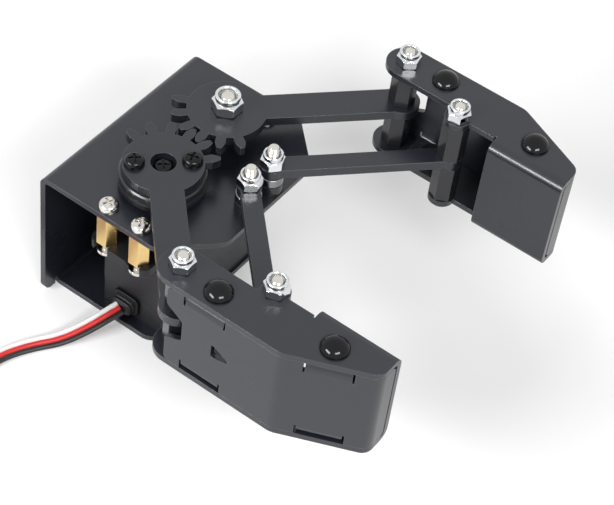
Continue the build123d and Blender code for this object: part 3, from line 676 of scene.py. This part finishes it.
def addDownwardScrews(name, node, spots, turns, finish, body):
    # M3 screws that point down and fill their node's box from top to bottom
    low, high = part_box(node)
    first, step = turns
    level = high.z - m3["head"][1]
    parts = []
    for row, (x, y) in enumerate(spots):
        parts += screwParts(m3, (x, y, level), level - low.z, True, first + step * row)
    screws = joinMeshes(name, parts, [finish], body)
    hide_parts(node)


def addDeckScrews():
    # four screws in the corners of their node's box
    low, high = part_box("deck_screws")
    inset = m3["head"][0]
    spots = [(x, y) for y in (high.y - inset, low.y + inset) for x in (high.x - inset, low.x + inset)]
    addDownwardScrews("deckScrews", "deck_screws", spots, screwTurns["deck"], nickel, "base")


def addHornScrews():
    # two screws either side of the shaft and one sunk on it
    centre = pivots["drive_arm_swing"]
    low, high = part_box("horn_screws")
    inset = m3["head"][0]
    reachX, reachY = (high.x - low.x) / 2 - inset, (high.y - low.y) / 2 - inset
    spots = [(centre.x + sign * reachX, centre.y + sign * reachY) for sign in (1, -1)]
    addDownwardScrews("hornScrews", "horn_screws", spots, screwTurns["horn"],
                      glossyBlack, "drive_arm")
    addDownwardScrews("hornCentreScrew", "horn_centre_screw", [(centre.x, centre.y)], screwTurns["centre"],
                      glossyBlack, "drive_arm")


for values in nutSets:
    addNuts(values)
for values in screwSets:
    addScrews(values)
addDeckScrews()
addHornScrews()
print("nuts and screws made")


# tie: a flat band round both turns of the coil

tieSettings = {
    "angle": 200.0,
    "radial": (0.01715, 0.02575),
    "level": (-0.02082, -0.01885),
    "width": 0.0032,
    "thickness": 0.00028,
    "rows": 96,
    "columns": 20,
    "roundPower": 0.35,     # squareness of the loop, then of the strip
    "stripPower": 0.4,
}


def addTie(settings):
    # a superellipse round the turns, carrying a rounded strip as its section
    near, far = settings["radial"]
    low, high = settings["level"]
    count = settings["rows"]
    loopX, loopY = superellipse(np.arange(count) * tau / count, settings["roundPower"])
    radial = (near + far) / 2 + (far - near) / 2 * loopX
    level = (low + high) / 2 + (high - low) / 2 * loopY
    angle = radians(settings["angle"])
    outward = np.array([np.cos(angle), np.sin(angle), 0])
    across = np.array([-np.sin(angle), np.cos(angle), 0])
    centre = np.array([*leadSettings["coilCentre"], 0])
    path = centre + radial[:, None] * outward + level[:, None] * np.array([0, 0, 1])
    along = np.roll(path, -1, axis=0) - np.roll(path, 1, axis=0)
    along /= np.linalg.norm(along, axis=1)[:, None]
    sideways = np.tile(across, (len(path), 1))
    upwards = np.cross(along, sideways)
    count = settings["columns"]
    strip = np.stack(superellipse(np.arange(count) * tau / count, settings["stripPower"]), axis=1)
    strip = strip * (settings["width"] / 2, settings["thickness"] / 2)
    band = gridMesh("band", sweep(path, sideways, upwards, strip), wrapRows=True)
    joinMeshes("leadTie", [(band, 0)], [blackPlastic], "base")


addTie(tieSettings)
print("tie made")


# floor and light

stageSettings = {
    "gap": 0.00005,         # keeps the floor out of the plane of the bracket's foot
    "size": 6.0,
    "floorColor": (0.78, 0.78, 0.78),
    "floorRoughness": 0.7,
    "floorSpecular": 0.1,
    "floorGlow": 0.23,
    "glowRing": (0.35, 1.2),    # metres from the middle
    "worldStrength": 0.06,
}


def addSeenRays(tree):
    # 1 for the rays that show the background: straight from the camera, mirrored or through glass
    rays = addNode(tree, "ShaderNodeLightPath")
    mirrored = addNode(tree, "ShaderNodeMath", operation="MAXIMUM")
    seen = addNode(tree, "ShaderNodeMath", operation="MAXIMUM")
    tree.links.new(rays.outputs["Is Camera Ray"], mirrored.inputs[0])
    tree.links.new(rays.outputs["Is Glossy Ray"], mirrored.inputs[1])
    tree.links.new(mirrored.outputs[0], seen.inputs[0])
    tree.links.new(rays.outputs["Is Transmission Ray"], seen.inputs[1])
    return seen.outputs[0]


def addFloor(settings):
    data = bpy.data.meshes.new("floor")
    half = settings["size"] / 2
    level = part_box("bracket")[0].z - settings["gap"]
    corners = [(-half, -half, level), (half, -half, level), (half, half, level), (-half, half, level)]
    data.from_pydata(corners, [], [(0, 1, 2, 3)])
    material, tree, shader = newMaterial("paleFloor")
    shader.inputs["Base Color"].default_value = (*settings["floorColor"], 1)
    shader.inputs["Roughness"].default_value = settings["floorRoughness"]
    shader.inputs["Specular IOR Level"].default_value = settings["floorSpecular"]
    shader.inputs["Emission Color"].default_value = (1, 1, 1, 1)
    # the glow rises to white outside the ring, so that the horizon stays white
    place = addNode(tree, "ShaderNodeTexCoord")
    distance = addNode(tree, "ShaderNodeVectorMath", operation="LENGTH")
    ring = addNode(tree, "ShaderNodeMapRange")
    ring.inputs["From Min"].default_value, ring.inputs["From Max"].default_value = settings["glowRing"]
    ring.inputs["To Min"].default_value = settings["floorGlow"]
    glow = addNode(tree, "ShaderNodeMath", operation="MULTIPLY")
    tree.links.new(place.outputs["Object"], distance.inputs[0])
    tree.links.new(distance.outputs["Value"], ring.inputs["Value"])
    tree.links.new(ring.outputs["Result"], glow.inputs[1])
    tree.links.new(addSeenRays(tree), glow.inputs[0])
    tree.links.new(glow.outputs[0], shader.inputs["Emission Strength"])
    data.materials.append(material)
    floor = bpy.data.objects.new("floor", data)
    scene.collection.objects.link(floor)


def addWorld(settings):
    world = bpy.data.worlds.new("studio")
    world.use_nodes = True
    tree = world.node_tree
    background = tree.nodes["Background"]
    background.inputs["Color"].default_value = (1, 1, 1, 1)
    strength = addNode(tree, "ShaderNodeMath", operation="MAXIMUM")
    strength.inputs[1].default_value = settings["worldStrength"]
    tree.links.new(addSeenRays(tree), strength.inputs[0])
    tree.links.new(strength.outputs[0], background.inputs["Strength"])
    scene.world = world


# the upper two stay out of mirror reflections, where they would draw their outlines on the rivets
lampSettings = [
    {"name": "overhead", "place": (0.2, -0.05, 0.95), "size": (1.6, 1.4), "power": 3.6,
     "mirrored": False},
    {"name": "rearLeft", "place": (-0.5, 0.6, 0.85), "size": (1.2, 1.2), "power": 3.4,
     "mirrored": False},
    {"name": "frontRight", "place": (0.7, -0.42, 0.66), "size": (0.5, 0.16), "power": 6.0,
     "mirrored": True},
    {"name": "frontLeft", "place": (-0.25, -0.8, 0.55), "size": (0.6, 0.16), "power": 8.5,
     "mirrored": True},
]


def addLamp(name, place, size, power, mirrored, target=(0.05, 0.0, 0.0)):
    data = bpy.data.lights.new(name, "AREA")
    data.shape = "RECTANGLE"
    data.size, data.size_y = size
    data.energy = power
    lamp = bpy.data.objects.new(name, data)
    lamp.location = place
    lamp.visible_glossy = mirrored
    lamp.rotation_mode = "QUATERNION"
    lamp.rotation_quaternion = (Vector(target) - Vector(place)).to_track_quat("-Z", "Y")
    scene.collection.objects.link(lamp)


addFloor(stageSettings)
addWorld(stageSettings)
for lampValues in lampSettings:
    addLamp(**lampValues)
print("stage lit")
